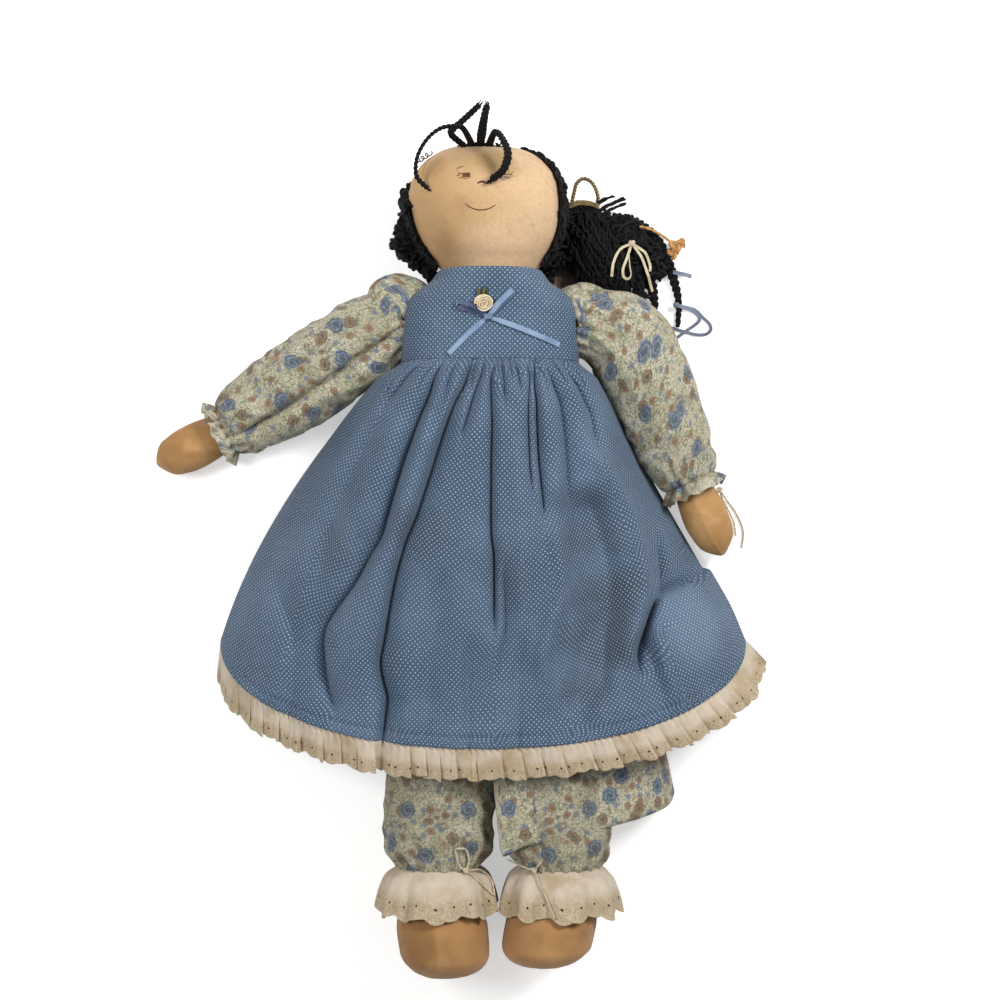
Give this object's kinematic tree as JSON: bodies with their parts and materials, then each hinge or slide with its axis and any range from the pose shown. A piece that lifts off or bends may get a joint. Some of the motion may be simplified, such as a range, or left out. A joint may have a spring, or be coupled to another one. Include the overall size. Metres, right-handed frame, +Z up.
{
  "type": "rag doll",
  "caption": "Stuffed cloth doll lying on its back, with yarn hair, a print dress and pantaloons, a dotted pinafore with a lace hem, and limbs that fold.",
  "frame": {"origin": "on the flattened back of the pinafore's bodice, where the doll lies on the floor, under the middle of the chest", "axes": "+Y from the feet to the crown, +Z up out of the chest, +X towards the doll's own left hand"},
  "size_m": [0.3904, 0.5428, 0.0933],
  "materials": {
    "muslin": "plain woven cotton, matt, tea stained",
    "floral_cotton": "printed cotton, matt",
    "dotted_cotton": "printed cotton, matt",
    "eyelet_lace": "eyelet cotton lace, matt",
    "black_yarn": "crinkled wool yarn, matt",
    "tan_cord": "twisted cotton cord",
    "cream_string": "twisted cotton string",
    "blue_ribbon": "narrow satin ribbon",
    "green_ribbon": "narrow satin ribbon",
    "cream_ribbon": "rolled satin ribbon"
  },
  "bodies": {
    "torso": {"torso": "muslin", "dress_bodice": "floral_cotton", "pinafore_bodice": "dotted_cotton", "pantaloon_seat": "floral_cotton", "bodice_bow": "blue_ribbon", "ribbon_rose": "cream_ribbon", "rose_leaves": "green_ribbon"},
    "head": {"head": "muslin", "hair_cap": "black_yarn", "side_curls": "black_yarn", "crown_braid_short": "black_yarn", "crown_braid_left": "black_yarn", "crown_braid_upright": "black_yarn", "crown_braid_right": "black_yarn"},
    "pigtail": {"pigtail": "black_yarn", "pigtail_braid_short": "black_yarn", "pigtail_braid_long": "black_yarn", "pigtail_cord_loop": "tan_cord", "pigtail_tan_bow": "tan_cord", "pigtail_cream_bow": "cream_string", "pigtail_blue_bow": "blue_ribbon", "pigtail_ribbon": "blue_ribbon"},
    "right_arm": {"right_arm": "muslin", "right_sleeve": "floral_cotton"},
    "left_arm": {"left_arm": "muslin", "left_sleeve": "floral_cotton", "left_wrist_string": "cream_string"},
    "skirts": {"pinafore_skirt": "dotted_cotton", "pinafore_lace": "eyelet_lace", "dress_skirt": "floral_cotton"},
    "right_leg": {"right_leg": "muslin", "right_pantaloon": "floral_cotton", "right_ankle_lace": "eyelet_lace", "right_ankle_string": "cream_string"},
    "left_leg": {"left_leg": "muslin", "left_pantaloon": "floral_cotton", "left_ankle_lace": "eyelet_lace", "left_ankle_string": "cream_string"}
  },
  "joints": [
    {"name": "neck_nod", "type": "hinge", "parent": "torso", "child": "head", "pos_m": [0, 0.042, 0.038], "axis": [1, 0, 0], "range_deg": [0, 20]},
    {"name": "pigtail_swing", "type": "hinge", "parent": "head", "child": "pigtail", "pos_m": [0.0525, 0.081, 0.0176], "axis": [0, 0, 1], "range_deg": [0, 60]},
    {"name": "right_arm_raise", "type": "hinge", "parent": "torso", "child": "right_arm", "pos_m": [-0.0531, 0.0035, 0.034], "axis": [-1, 0, 0], "range_deg": [0, 100]},
    {"name": "left_arm_raise", "type": "hinge", "parent": "torso", "child": "left_arm", "pos_m": [0.0531, 0.0035, 0.034], "axis": [-1, 0, 0], "range_deg": [0, 100]},
    {"name": "skirts_fold", "type": "hinge", "parent": "torso", "child": "skirts", "pos_m": [0, -0.12, 0.033], "axis": [-1, 0, 0], "range_deg": [0, 90], "deforming": ["pinafore_skirt", "pinafore_lace", "dress_skirt"]},
    {"name": "right_leg_splay", "type": "hinge", "parent": "skirts", "child": "right_leg", "pos_m": [-0.027, -0.13825, 0.033], "axis": [0, 0, -1], "range_deg": [0, 15]},
    {"name": "left_leg_splay", "type": "hinge", "parent": "skirts", "child": "left_leg", "pos_m": [0.027, -0.13825, 0.033], "axis": [0, 0, 1], "range_deg": [0, 15]}
  ]
}
